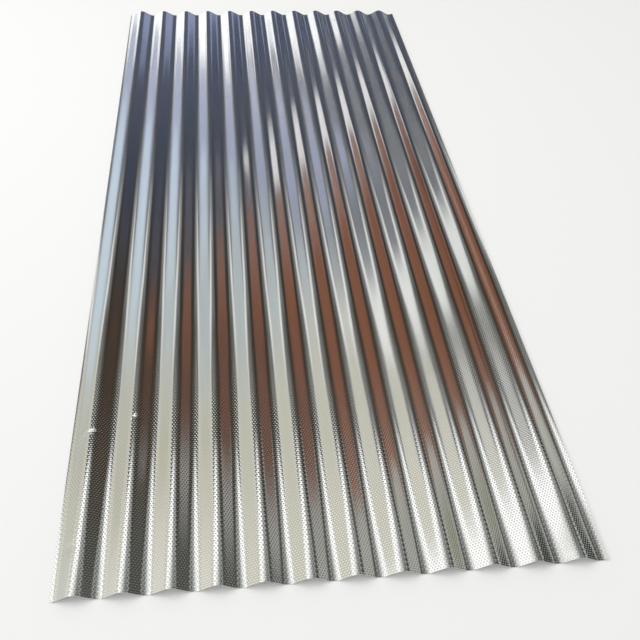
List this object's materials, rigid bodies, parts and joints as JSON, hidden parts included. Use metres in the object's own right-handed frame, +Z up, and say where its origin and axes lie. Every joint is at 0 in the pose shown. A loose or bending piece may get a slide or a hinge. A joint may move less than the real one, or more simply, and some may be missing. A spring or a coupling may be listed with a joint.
{
  "type": "corrugated aluminium roofing sheet",
  "caption": "Long rectangular sheet of bare aluminium roll-formed into even rounded corrugations, with a fine embossed grain, laid across purlins to cover a roof.",
  "frame": {"origin": "on the plane the sheet lies on, at the middle of its width and length", "axes": "+X across the corrugations towards the side lap edge, +Y along the corrugations, +Z up out of the upper face"},
  "size_m": [0.9264, 2.2, 0.0159],
  "materials": {
    "bare_aluminium": "bright mill finish, embossed"
  },
  "bodies": {
    "root": {"corrugated_sheet": "bare_aluminium"}
  },
  "joints": []
}
